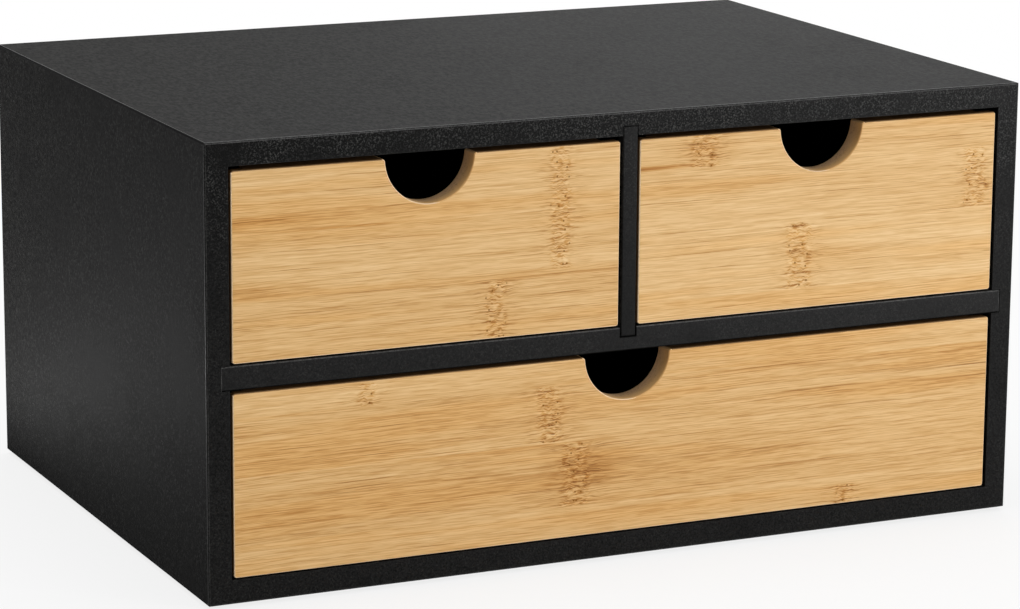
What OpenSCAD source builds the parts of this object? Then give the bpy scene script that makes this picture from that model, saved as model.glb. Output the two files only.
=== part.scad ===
// Desktop drawer unit: a mitred black case that holds two small drawers over one wide drawer.
// The origin is the centre of the footprint, on the surface that the four pads stand on.
// X runs to the right, Y to the back and Z up. The drawers open towards -Y. All in millimetres.

/* [Case] */
// Width of the case, left to right
case_w = 335; // [260:1:420]
// Depth of the case, front to back
case_d = 240; // [160:1:320]
// Height of the case without its pads
case_h = 170; // [150:1:240]
// Thickness of the top, the base and the two sides
board_t = 9; // [8:0.5:15]
// Bevel that eases the outer edges of the case
case_ease = 0.5; // [0.2:0.1:1.5]

/* [Shelf and divider] */
// Clear height of the upper row, from the shelf to the top
upper_row_h = 72.5; // [50:0.5:85]
// Thickness of the shelf between the rows
shelf_t = 9; // [7:0.5:15]
// Thickness of the upright divider between the small drawers
divider_t = 6; // [4:0.5:12]
// How deep the shelf and the divider are let into the boards that hold them
housing_depth = 3.5; // [2:0.5:5]
// Gap round a board in its housing
housing_gap = 0.1; // [0.05:0.05:0.3]

/* [Mitre tongues] */
// Width of a loose tongue across the mitre that it holds
tongue_w = 7; // [5:0.5:9]
// Thickness of a tongue
tongue_t = 2; // [1:0.5:3]
// Distance of a tongue's middle from the mitre's inner corner
tongue_setback = 4.8; // [4:0.2:6]
// How far a tongue stops short of the front and the rear of the case
tongue_stop = 15; // [8:1:40]
// Gap round a tongue in its slot
tongue_gap = 0.1; // [0.05:0.05:0.3]

/* [Back panel] */
// Thickness of the back panel
back_t = 3; // [2:0.5:5]
// Width of the rebate in each case board that the back panel sits in
rebate_w = 4.5; // [3:0.5:6]
// Gap between the edges of the back panel and its rebate
back_gap = 0.3; // [0.1:0.1:0.8]
// Number of nails through the back panel into the top, and as many into the base
nails_across = 4; // [2:1:6]
// Length of a back panel nail
nail_l = 14; // [8:1:20]

/* [Foot pads] */
// Diameter of a foot pad
pad_d = 12; // [8:1:20]
// Thickness of a foot pad
pad_t = 1.5; // [1:0.5:4]
// Distance of a pad's middle from the case's outer faces
pad_inset = 18; // [12:1:40]

/* [Drawer fronts] */
// Thickness of a drawer front
front_t = 9; // [8:0.5:12]
// How far a closed drawer front lies behind the front of the case
front_recess = 0.3; // [0.1:0.1:3]
// Gap between the ends of a drawer front and the boards beside it
end_gap = 1.1; // [0.5:0.1:2]
// Gap under a drawer front
foot_gap = 0.6; // [0.3:0.1:1.5]
// Gap above a small drawer's front
upper_head_gap = 1.8; // [0.8:0.1:3]
// Gap above the wide drawer's front
lower_head_gap = 1.3; // [0.8:0.1:3]
// Radius of the corners of a drawer front
front_corner_r = 1; // [0.5:0.1:3]
// Radius of the half-round finger notch
notch_r = 17.5; // [12:0.5:22]
// Radius where the notch turns into the top edge of the front
notch_lip_r = 1.2; // [0.5:0.1:3]

/* [Drawer boxes] */
// Thickness of a drawer's side boards
side_t = 6; // [5:0.5:9]
// How far a side board's outer face lies inside the end of the front
side_inset = 0.4; // [0.2:0.1:1]
// How far the side and back boards stop below the top edge of the front
side_drop = 6; // [4:0.5:12]
// Thickness of the front that is left before the end of a side board
front_lip_t = 4; // [3:0.5:5]
// Thickness of a drawer's back board
rear_t = 6; // [5:0.5:9]
// Thickness of a drawer's bottom panel
bottom_t = 3; // [2:0.5:4]
// Height of the bottom panel's underside above the lower edges of the sides
bottom_rise = 4; // [3:0.5:8]
// How deep the bottom panel's groove is in the boards round it
groove_depth = 3; // [2:0.5:4]
// Gap round the bottom panel in its groove
groove_gap = 0.1; // [0.05:0.05:0.3]
// Gap between a closed drawer and the back panel that stops it
stop_gap = 0.2; // [0.1:0.1:1]
// Length of a drawer brad
brad_l = 15; // [10:1:20]
// Distance of the brads from the upper and lower edges of a side board
brad_edge = 14; // [10:1:18]

/* [Nails and brads] */
// Diameter of a nail or brad
shank_d = 1.2; // [0.8:0.1:1.8]
// Diameter of its flat head
head_d = 2.2; // [2:0.1:3]
// Thickness of its head
head_t = 0.6; // [0.4:0.1:1]
// Gap round it in the wood
shank_gap = 0.05; // [0.02:0.01:0.1]

/* [Hidden] */
$fn = 64;

PAINTED_BLACK = [0.13, 0.13, 0.13];
BOX_BLACK = [0.18, 0.18, 0.18];
BAMBOO = [0.87, 0.69, 0.45];
PLYWOOD = [0.72, 0.58, 0.40];
STEEL = [0.70, 0.70, 0.72];
RUBBER = [0.25, 0.25, 0.26];

// Names of the drawers and of the sides of things
LEFT_DRAWER = 0;
RIGHT_DRAWER = 1;
WIDE_DRAWER = 2;
LEFT = -1;
RIGHT = 1;
FRONT = -1;
REAR = 1;
BASE = -1;
TOP = 1;

// How far a cut runs past the face that it opens
OVER = 1;

// Heights in the case
inner_w = case_w - 2 * board_t;
inner_h = case_h - 2 * board_t;
base_upper_z = pad_t + board_t;
top_under_z = base_upper_z + inner_h;
shelf_upper_z = top_under_z - upper_row_h;
shelf_under_z = shelf_upper_z - shelf_t;
case_mid_z = pad_t + case_h / 2;

// The front of the case and the face that the back panel is nailed against
front_y = -case_d / 2;
rear_shoulder_y = case_d / 2 - back_t;
shelf_l = rear_shoulder_y - front_y;

// The drawers: their length, and where their side boards begin
drawer_l = shelf_l - front_recess - stop_gap;
side_start = front_lip_t;
side_l = drawer_l - side_start;

// The space that a drawer fills
function is_wide(drawer) = drawer == WIDE_DRAWER;
function cell_left(drawer) = drawer == RIGHT_DRAWER ? divider_t / 2 : -inner_w / 2;
function cell_right(drawer) = drawer == LEFT_DRAWER ? -divider_t / 2 : inner_w / 2;
function cell_w(drawer) = cell_right(drawer) - cell_left(drawer);
function cell_mid_x(drawer) = (cell_right(drawer) + cell_left(drawer)) / 2;
function cell_floor_z(drawer) = is_wide(drawer) ? base_upper_z : shelf_upper_z;
function cell_h(drawer) = is_wide(drawer) ? shelf_under_z - base_upper_z : upper_row_h;

// The sizes of a drawer's pieces
function front_w(drawer) = cell_w(drawer) - 2 * end_gap;
function front_h(drawer) =
    cell_h(drawer) - foot_gap - (is_wide(drawer) ? lower_head_gap : upper_head_gap);
function side_h(drawer) = foot_gap + front_h(drawer) - side_drop;
function box_inner_w(drawer) = front_w(drawer) - 2 * (side_inset + side_t);

// A rectangle whose four corners are cut at 45 degrees, centred on the origin
module eased_rectangle(w, h, ease) {
    x = w / 2;
    y = h / 2;
    polygon([
        [-x + ease, -y], [x - ease, -y], [x, -y + ease], [x, y - ease],
        [x - ease, y], [-x + ease, y], [-x, y - ease], [-x, -y + ease]
    ]);
}

// A block with all twelve edges eased, centred on the origin
module eased_block(w, d, h, ease) {
    intersection() {
        linear_extrude(h, center = true) eased_rectangle(w, d, ease);
        rotate([90, 0, 0]) linear_extrude(d, center = true) eased_rectangle(w, h, ease);
        rotate([90, 0, 90]) linear_extrude(w, center = true) eased_rectangle(d, h, ease);
    }
}

// A rectangle with round corners, centred in X, with its lower edge on the X axis
module rounded_rectangle(w, h, r) {
    translate([-w / 2 + r, 0]) square([w - 2 * r, h]);
    translate([-w / 2, r]) square([w, h - 2 * r]);
    for (x = [-w / 2 + r, w / 2 - r], y = [r, h - r])
        translate([x, y]) circle(r);
}

// A nail that points down, with the top of its flat head at the origin.
// With grow above zero it is the hole for that nail.
module nail(length, grow = 0) {
    translate([0, 0, -length - grow]) cylinder(length + 2 * grow, d = shank_d + 2 * grow);
    translate([0, 0, -head_t - grow]) cylinder(head_t + 2 * grow, d = head_d + 2 * grow);
}

// ---- Case ----

// A case board that faces up, with its outer face at z = 0 and a mitre at each end
module mitred_board(length) {
    half = length / 2;
    rotate([90, 0, 0])
        linear_extrude(case_d, center = true)
            polygon([[-half, 0], [half, 0], [half - board_t, -board_t], [board_t - half, -board_t]]);
}

// The shelf, and with grow above zero the space of its housings
module shelf_form(grow = 0) {
    w = inner_w + 2 * housing_depth + 2 * grow;
    translate([-w / 2, front_y - grow, shelf_under_z - grow])
        cube([w, shelf_l + 2 * grow, shelf_t + 2 * grow]);
}

// The divider, and with grow above zero the space of its housings
module divider_form(grow = 0) {
    h = upper_row_h + 2 * housing_depth + 2 * grow;
    translate([-divider_t / 2 - grow, front_y - grow, shelf_upper_z - housing_depth - grow])
        cube([divider_t + 2 * grow, shelf_l + 2 * grow, h]);
}

// The rebate that the back panel sits in
module back_rebate() {
    w = inner_w + 2 * rebate_w;
    h = inner_h + 2 * rebate_w;
    translate([-w / 2, rear_shoulder_y, case_mid_z - h / 2]) cube([w, back_t + OVER, h]);
}

// A tongue across the mitre of one corner, and with grow above zero its slot
module tongue_form(side, level, grow = 0) {
    reach = tongue_setback * cos(45);
    translate([
        side * (inner_w / 2 + reach),
        0,
        case_mid_z + level * (inner_h / 2 + reach)
    ])
        rotate([0, side * level * 45, 0])
            cube([tongue_w + 2 * grow, case_d - 2 * tongue_stop + 2 * grow, tongue_t + 2 * grow],
                center = true);
}

// The nails of the back panel, and with grow above zero their holes:
// a row along the top and the base, and one beside each row of drawers on both sides
module back_nail_set(grow = 0) {
    edge_x = inner_w / 2 + rebate_w / 2;
    edge_z = inner_h / 2 + rebate_w / 2;
    pitch = inner_w / nails_across;
    for (level = [BASE, TOP], i = [0:nails_across - 1])
        back_nail((i + 0.5) * pitch - inner_w / 2, case_mid_z + level * edge_z, grow);
    for (side = [LEFT, RIGHT], drawer = [WIDE_DRAWER, LEFT_DRAWER])
        back_nail(side * edge_x, cell_floor_z(drawer) + cell_h(drawer) / 2, grow);
}

// One nail driven forwards through the back panel
module back_nail(x, z, grow) {
    translate([x, case_d / 2, z]) rotate([-90, 0, 0]) nail(nail_l, grow);
}

// One board of the case with all its joints cut.
// turn swings it from the top round to a side or the base, out is how far its face is from the middle.
module case_board(turn, out, length) {
    difference() {
        intersection() {
            translate([0, 0, case_mid_z]) rotate([0, turn, 0]) translate([0, 0, out])
                mitred_board(length);
            translate([0, 0, case_mid_z]) eased_block(case_w, case_d, case_h, case_ease);
        }
        back_rebate();
        shelf_form(housing_gap);
        divider_form(housing_gap);
        for (side = [LEFT, RIGHT], level = [BASE, TOP])
            tongue_form(side, level, tongue_gap);
        back_nail_set(shank_gap);
    }
}

module case_top() {
    color(PAINTED_BLACK) case_board(0, case_h / 2, case_w);
}

module case_base() {
    color(PAINTED_BLACK) case_board(180, case_h / 2, case_w);
}

module case_side(side) {
    color(PAINTED_BLACK) case_board(side * 90, case_w / 2, case_h);
}

module shelf() {
    color(PAINTED_BLACK) difference() {
        shelf_form();
        divider_form(housing_gap);
    }
}

module divider() {
    color(PAINTED_BLACK) divider_form();
}

module back_panel() {
    w = inner_w + 2 * (rebate_w - back_gap);
    h = inner_h + 2 * (rebate_w - back_gap);
    color(PAINTED_BLACK) difference() {
        translate([-w / 2, rear_shoulder_y, case_mid_z - h / 2]) cube([w, back_t, h]);
        back_nail_set(shank_gap);
    }
}

module back_nails() {
    color(STEEL) back_nail_set();
}

module mitre_tongue(side, level) {
    color(PLYWOOD) tongue_form(side, level);
}

module foot_pad(side, end) {
    x = side * (case_w / 2 - pad_inset);
    y = end * (case_d / 2 - pad_inset);
    color(RUBBER) translate([x, y, 0]) cylinder(pad_t, d = pad_d);
}

// ---- Drawers ----
// Each piece is drawn in its drawer's own frame: X from the middle of the drawer,
// Y back from the face of its front, and Z up from the board that the drawer slides on.

// Puts a piece of a closed drawer in its place in the case
module in_cell(drawer) {
    translate([cell_mid_x(drawer), front_y + front_recess, cell_floor_z(drawer)]) children();
}

// The finger notch as a cut, with its middle on the top edge of the front
module notch_outline() {
    lip_x = sqrt(pow(notch_r, 2) + 2 * notch_r * notch_lip_r);
    circle(notch_r);
    for (flip = [0, 1])
        mirror([flip, 0]) difference() {
            polygon([[0, 0], [0, OVER], [lip_x, OVER], [lip_x, -notch_lip_r]]);
            translate([lip_x, -notch_lip_r]) circle(notch_lip_r);
        }
}

// The space of the bottom panel, and with grow above zero the grooves round it
module bottom_form(drawer, grow = 0) {
    w = box_inner_w(drawer) + 2 * (groove_depth - groove_gap) + 2 * grow;
    start = front_t - groove_depth + groove_gap;
    stop = drawer_l - rear_t + groove_depth - groove_gap;
    translate([-w / 2, start - grow, bottom_rise - grow])
        cube([w, stop - start + 2 * grow, bottom_t + 2 * grow]);
}

// The brads through the side boards into the front and the rear, and with grow above zero their holes
module brad_set(drawer, grow = 0) {
    x = front_w(drawer) / 2 - side_inset;
    for (
        side = [LEFT, RIGHT],
        y = [(front_lip_t + front_t) / 2, drawer_l - rear_t / 2],
        z = [brad_edge, side_h(drawer) - brad_edge]
    )
        translate([side * x, y, z]) rotate([0, side * 90, 0]) nail(brad_l, grow);
}

module drawer_front(drawer) {
    w = front_w(drawer);
    h = front_h(drawer);
    step_w = side_t + side_inset;
    color(BAMBOO) in_cell(drawer) difference() {
        translate([0, front_t, foot_gap]) rotate([90, 0, 0]) linear_extrude(front_t) difference() {
            rounded_rectangle(w, h, front_corner_r);
            translate([0, h]) notch_outline();
        }
        for (x = [-w / 2 - OVER, w / 2 - step_w])
            translate([x, front_lip_t, foot_gap - OVER])
                cube([step_w + OVER, front_t - front_lip_t + OVER, h + 2 * OVER]);
        bottom_form(drawer, groove_gap);
        brad_set(drawer, shank_gap);
    }
}

module drawer_side(drawer, side) {
    out = front_w(drawer) / 2 - side_inset;
    x = side == RIGHT ? out - side_t : -out;
    color(BOX_BLACK) in_cell(drawer) difference() {
        translate([x, side_start, 0]) cube([side_t, side_l, side_h(drawer)]);
        side_groove(drawer);
        brad_set(drawer, shank_gap);
    }
}

// The grooves in both side boards, which run through from end to end
module side_groove(drawer) {
    w = box_inner_w(drawer) + 2 * groove_depth;
    translate([-w / 2, side_start - OVER, bottom_rise - groove_gap])
        cube([w, side_l + 2 * OVER, bottom_t + 2 * groove_gap]);
}

module drawer_rear(drawer) {
    w = box_inner_w(drawer);
    color(BOX_BLACK) in_cell(drawer) difference() {
        translate([-w / 2, drawer_l - rear_t, foot_gap])
            cube([w, rear_t, side_h(drawer) - foot_gap]);
        bottom_form(drawer, groove_gap);
        brad_set(drawer, shank_gap);
    }
}

module drawer_bottom(drawer) {
    color(BOX_BLACK) in_cell(drawer) bottom_form(drawer);
}

module drawer_brads(drawer) {
    color(STEEL) in_cell(drawer) brad_set(drawer);
}

case_top();
case_base();
case_side(LEFT);  // case_side_left
case_side(RIGHT);  // case_side_right
shelf();
divider();
back_panel();
back_nails();
mitre_tongue(LEFT, TOP);  // mitre_tongue_top_left
mitre_tongue(RIGHT, TOP);  // mitre_tongue_top_right
mitre_tongue(LEFT, BASE);  // mitre_tongue_base_left
mitre_tongue(RIGHT, BASE);  // mitre_tongue_base_right
foot_pad(LEFT, FRONT);  // foot_pad_front_left
foot_pad(RIGHT, FRONT);  // foot_pad_front_right
foot_pad(LEFT, REAR);  // foot_pad_rear_left
foot_pad(RIGHT, REAR);  // foot_pad_rear_right
drawer_front(LEFT_DRAWER);  // left_drawer_front
drawer_side(LEFT_DRAWER, LEFT);  // left_drawer_side_left
drawer_side(LEFT_DRAWER, RIGHT);  // left_drawer_side_right
drawer_rear(LEFT_DRAWER);  // left_drawer_rear
drawer_bottom(LEFT_DRAWER);  // left_drawer_bottom
drawer_brads(LEFT_DRAWER);  // left_drawer_brads
drawer_front(RIGHT_DRAWER);  // right_drawer_front
drawer_side(RIGHT_DRAWER, LEFT);  // right_drawer_side_left
drawer_side(RIGHT_DRAWER, RIGHT);  // right_drawer_side_right
drawer_rear(RIGHT_DRAWER);  // right_drawer_rear
drawer_bottom(RIGHT_DRAWER);  // right_drawer_bottom
drawer_brads(RIGHT_DRAWER);  // right_drawer_brads
drawer_front(WIDE_DRAWER);  // wide_drawer_front
drawer_side(WIDE_DRAWER, LEFT);  // wide_drawer_side_left
drawer_side(WIDE_DRAWER, RIGHT);  // wide_drawer_side_right
drawer_rear(WIDE_DRAWER);  // wide_drawer_rear
drawer_bottom(WIDE_DRAWER);  // wide_drawer_bottom
drawer_brads(WIDE_DRAWER);  // wide_drawer_brads
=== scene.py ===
"""The looks of a desktop drawer unit, dressed over its packed construction.

A black mitred case holds two small drawers over one wide drawer, and each drawer has a bamboo front
with a half-round finger notch. Sizes are in metres unless a name ends in _mm, and places are those
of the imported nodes: X to the right, Y to the back, Z up, with the table top at Z = 0.
"""

from __future__ import annotations

import logging
import math
from collections.abc import Callable, Iterable, Sequence
from dataclasses import dataclass
from enum import Enum, IntEnum

import bmesh
import bpy
from bmesh.types import BMEdge, BMesh, BMFace
from bpy.types import ID, Material, Node, NodeSocket, NodeTree, Object
from mathutils import Matrix, Vector

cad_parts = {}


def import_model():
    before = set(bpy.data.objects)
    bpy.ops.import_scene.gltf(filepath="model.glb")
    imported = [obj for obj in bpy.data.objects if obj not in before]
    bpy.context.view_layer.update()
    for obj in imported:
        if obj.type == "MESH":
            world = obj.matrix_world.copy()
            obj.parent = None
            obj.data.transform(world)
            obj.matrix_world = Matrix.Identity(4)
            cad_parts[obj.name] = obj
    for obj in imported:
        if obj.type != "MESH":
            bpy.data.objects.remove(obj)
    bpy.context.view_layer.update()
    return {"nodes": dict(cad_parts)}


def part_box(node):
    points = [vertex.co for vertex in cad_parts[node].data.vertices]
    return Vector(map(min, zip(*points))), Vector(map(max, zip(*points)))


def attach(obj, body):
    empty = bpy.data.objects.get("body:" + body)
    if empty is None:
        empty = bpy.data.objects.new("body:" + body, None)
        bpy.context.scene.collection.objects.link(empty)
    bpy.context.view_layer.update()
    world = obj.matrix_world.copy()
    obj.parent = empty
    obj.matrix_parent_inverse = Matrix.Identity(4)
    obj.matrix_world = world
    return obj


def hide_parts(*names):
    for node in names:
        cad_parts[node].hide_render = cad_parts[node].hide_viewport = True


MM = 0.001
LOG = logging.getLogger("drawer_unit")

Colour = tuple[float, float, float]


class Side(Enum):
    """The two sides of the unit and of each drawer."""

    LEFT = "left"
    RIGHT = "right"


class Cell(Enum):
    """The three places that hold a drawer."""

    LEFT = "left_drawer"
    RIGHT = "right_drawer"
    WIDE = "wide_drawer"


# ---------------------------------------------------------------------------------------------
# Node-based materials
# ---------------------------------------------------------------------------------------------


class Shader:
    """One node-based material, built a node at a time.

    A value is a number or another node's output. Places are in millimetres in the piece's own
    frame, so a pattern stays on its piece when a drawer slides.
    """

    def __init__(self, name: str) -> None:
        """Start a material with a Principled shader.

        Args:
            name: The material's name.
        """
        self.material = bpy.data.materials.new(name)
        self.material.use_nodes = True
        self.tree = self.material.node_tree
        self.tree.nodes.clear()
        self.surface = self.put("ShaderNodeBsdfPrincipled")
        self.output = self.put("ShaderNodeOutputMaterial")
        self.tree.links.new(self.surface.outputs[0], self.output.inputs["Surface"])

    def put(self, kind: str, inputs: dict | None = None, **settings: object) -> Node:
        """Add a node.

        Args:
            kind: Blender's name for the node type.
            inputs: Values by input name or index.
            settings: Properties of the node.

        Returns:
            The new node.
        """
        node = self.tree.nodes.new(kind)
        for key, value in settings.items():
            setattr(node, key, value)
        for key, value in (inputs or {}).items():
            self.feed(node.inputs[key], value)
        return node

    def feed(self, socket: NodeSocket, value: object) -> None:
        """Link an output to a socket, or write a plain value on it.

        Args:
            socket: The input to feed.
            value: Another node's output, a number, or a sequence of numbers.
        """
        if isinstance(value, NodeSocket):
            self.tree.links.new(value, socket)
        elif isinstance(value, tuple) and socket.type == "RGBA":
            socket.default_value = (*value, 1.0)
        else:
            socket.default_value = value

    def dress(self, **inputs: object) -> Material:
        """Feed the Principled shader.

        Args:
            inputs: Values by input name, with underscores for spaces.

        Returns:
            The finished material.
        """
        for key, value in inputs.items():
            name = "Specular IOR Level" if key == "Specular" else key.replace("_", " ")
            self.feed(self.surface.inputs[name], value)
        return self.material

    def math(self, operation: str, a: object, b: object = 0.0, clamp: bool = False) -> NodeSocket:
        """Combine two numbers.

        Args:
            operation: Blender's name for the operation.
            a: The first number.
            b: The second number.
            clamp: Whether to hold the result between 0 and 1.

        Returns:
            The result's output.
        """
        return self.put("ShaderNodeMath", {0: a, 1: b}, operation=operation, use_clamp=clamp).outputs[0]

    def total(self, *terms: object) -> NodeSocket:
        """Add up values, each times its own weight where it has one.

        Args:
            terms: Values, or pairs of a value and its weight.

        Returns:
            The sum's output.
        """
        result: object = 0.0
        for term in terms:
            value, weight = term if isinstance(term, tuple) else (term, 1.0)
            scaled = {0: value, 1: weight, 2: result}
            result = self.put("ShaderNodeMath", scaled, operation="MULTIPLY_ADD").outputs[0]
        return result

    def step(self, value: object, low: float, high: float) -> NodeSocket:
        """Rise smoothly from 0 at low to 1 at high, or fall where low is above high.

        Args:
            value: The number to look at.
            low: Where the result is 0.
            high: Where the result is 1.

        Returns:
            The result's output.
        """
        flipped = low > high
        inputs = {"Value": value, "From Min": min(low, high), "From Max": max(low, high)}
        inputs |= {"To Min": float(flipped), "To Max": float(not flipped)}
        node = self.put("ShaderNodeMapRange", inputs, interpolation_type="SMOOTHSTEP")
        return node.outputs["Result"]

    def millimetres(self) -> tuple[NodeSocket, NodeSocket, NodeSocket]:
        """Return X, Y and Z of the shaded point in the piece's frame, in millimetres."""
        place = self.put("ShaderNodeTexCoord").outputs["Object"]
        scaled = self.put("ShaderNodeVectorMath", {0: place, "Scale": 1 / MM}, operation="SCALE")
        parts = self.put("ShaderNodeSeparateXYZ", {0: scaled.outputs[0]})
        return parts.outputs[0], parts.outputs[1], parts.outputs[2]

    def spot(self, x: object, y: object, z: object, sizes: Sequence[float]) -> NodeSocket:
        """Scale a place so that one unit of a pattern has the given size on each axis.

        Args:
            x: The first coordinate.
            y: The second coordinate.
            z: The third coordinate.
            sizes: The pattern's size on each axis, in the same units.

        Returns:
            The vector's output.
        """
        joined = self.put("ShaderNodeCombineXYZ", {0: x, 1: y, 2: z}).outputs[0]
        node = self.put("ShaderNodeVectorMath", {0: joined, 1: Vector(sizes)}, operation="DIVIDE")
        return node.outputs[0]

    def noise(self, spot: object, detail: float = 2.0, rough: float = 0.5) -> NodeSocket:
        """Sample soft noise with a mean near one half.

        Args:
            spot: Where to sample, from spot().
            detail: The number of finer layers.
            rough: How much each finer layer counts.

        Returns:
            The noise's output.
        """
        inputs = {"Vector": spot, "Scale": 1.0, "Detail": detail, "Roughness": rough}
        return self.put("ShaderNodeTexNoise", inputs).outputs[0]

    def cells(self, spot: object, jitter: float = 1.0, space: str = "3D") -> NodeSocket:
        """Measure the distance to the nearest of many scattered points.

        Args:
            spot: Where to sample, from spot().
            jitter: How far the points stray from a regular grid, from 0 to 1.
            space: Whether the points fill "3D" space or lie in the "2D" plane of X and Y.

        Returns:
            The distance's output, in units of the pattern.
        """
        inputs = {"Vector": spot, "Scale": 1.0, "Randomness": jitter}
        return self.put("ShaderNodeTexVoronoi", inputs, voronoi_dimensions=space).outputs["Distance"]

    def ramp(self, value: object, stops: Iterable[tuple[float, Colour]]) -> NodeSocket:
        """Turn a number into a colour.

        Args:
            value: The number, from 0 to 1.
            stops: Pairs of a number and its colour, in rising order.

        Returns:
            The colour's output.
        """
        node = self.put("ShaderNodeValToRGB", {0: value})
        places = list(stops)
        while len(node.color_ramp.elements) < len(places):
            node.color_ramp.elements.new(1.0)
        for element, (place, colour) in zip(node.color_ramp.elements, places):
            element.position = place
            element.color = (*colour, 1.0)
        return node.outputs[0]

    def blend(self, factor: object, a: object, b: object, mode: str = "MIX") -> NodeSocket:
        """Blend two colours.

        Args:
            factor: The share of the second colour's effect.
            a: The first colour.
            b: The second colour.
            mode: Blender's name for the way they blend.

        Returns:
            The colour's output.
        """
        inputs = {0: factor, 6: a, 7: b}
        node = self.put("ShaderNodeMix", inputs, data_type="RGBA", blend_type=mode)
        return node.outputs[2]

    def relief(self, height: object, depth_mm: float) -> NodeSocket:
        """Make a bumped normal.

        Args:
            height: The height, from 0 to 1.
            depth_mm: How far the surface rises from height 0 to height 1.

        Returns:
            The normal's output.
        """
        inputs = {"Height": height, "Distance": depth_mm * MM, "Strength": 1.0}
        return self.put("ShaderNodeBump", inputs).outputs[0]


@dataclass(frozen=True)
class BlackPaint:
    """Satin black paint sprayed on fibreboard.

    The grain is the fine pebbling of the spray, drawn out a little from front to back. The specks that
    catch the light are fibres on a sawn edge, or grit in the spray on a face. They thin out downwards
    between the two heights of speck_fade_mm, and below them the colour is lighter by a share given on
    the paint, which is a painted sheen.
    The clouds are wide soft patches. A _share or _bite is how much of a pattern shows in the colour or
    in the roughness, and _levels are the values of a noise between which its effect sets in.
    """

    name: str
    shade: float = 0.014
    rough: float = 0.66
    shine: float = 0.03
    tint: Colour = (1.0, 0.995, 0.96)
    grain_mm: float = 1.5
    grain_draw: float = 2.2
    grain_share: float = 4.4
    grain_bite: float = 0.25
    cloud_mm: float = 30.0
    cloud_share: float = 0.3
    cloud_bite: float = 0.12
    speck_mm: float = 0.62
    speck_shade: float = 0.055
    speck_tint: Colour = (1.0, 0.99, 0.95)
    speck_share: float = 0.0
    speck_bite: float = -0.08
    speck_levels: tuple[float, float] = (0.47, 0.75)
    speck_patch_levels: tuple[float, float] = (0.22, 0.55)
    speck_fade_mm: tuple[float, float] = (95.0, 163.0)
    fewest_specks: float = 0.3
    painted_sheen_gain: float = 0.0
    relief_mm: float = 0.05
    seed: float = 0.0

    def material(self) -> Material:
        """Return the finish as a material."""
        s = Shader(self.name)
        x, y, z = s.millimetres()
        shifted = s.math("ADD", y, self.seed * 100)
        grain_sizes = (self.grain_mm, self.grain_mm * self.grain_draw, self.grain_mm)
        grain = s.noise(s.spot(x, shifted, z, grain_sizes), 4.0, 0.8)
        cloud = s.noise(s.spot(x, shifted, z, (self.cloud_mm,) * 3), 3.0, 0.6)
        specks = s.noise(s.spot(x, shifted, z, (self.speck_mm,) * 3), 2.0, 0.7)
        specks = s.step(specks, *self.speck_levels)
        specks = s.math("MULTIPLY", specks, s.step(cloud, *self.speck_patch_levels))
        fade = s.step(z, *self.speck_fade_mm)
        left = s.total((fade, 1.0 - self.fewest_specks), self.fewest_specks)
        specks = s.math("MULTIPLY", specks, left)
        tone = s.total((grain, self.grain_share), (cloud, self.cloud_share))
        tone = s.math("ADD", tone, (1.0 - self.grain_share - self.cloud_share) / 2, clamp=True)
        # Painted sheen: the colour grows lighter towards the bottom, below the specks.
        sheen_gain = s.total((fade, -self.painted_sheen_gain), 1.0 + self.painted_sheen_gain)
        base = tuple(2 * self.shade * c for c in self.tint)
        colour = s.blend(1.0, base, s.math("MULTIPLY", tone, sheen_gain), "MULTIPLY")
        bright = tuple(self.speck_shade * c for c in self.speck_tint)
        colour = s.blend(s.math("MULTIPLY", specks, self.speck_share), colour, bright)
        middle = self.rough - (self.grain_bite + self.cloud_bite) / 2
        rough = s.total((grain, self.grain_bite), (cloud, self.cloud_bite), (specks, self.speck_bite), middle)
        height = s.total((grain, 0.7), (specks, 0.3 * min(1.0, self.speck_share * 2)))
        normal = s.relief(height, self.relief_mm)
        return s.dress(Base_Color=colour, Roughness=rough, Specular=self.shine, Normal=normal)


@dataclass(frozen=True)
class Knuckle:
    """A knuckle of the bamboo cane, a column of small marks across one strip, in millimetres."""

    x: float
    low: float
    high: float
    reach: float
    depth: float = 1.0


@dataclass(frozen=True)
class Stain:
    """A browner streak that fades out along and across the grain, in millimetres."""

    x: float
    z: float
    reach: float
    half_width: float
    depth: float = 1.0


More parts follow.
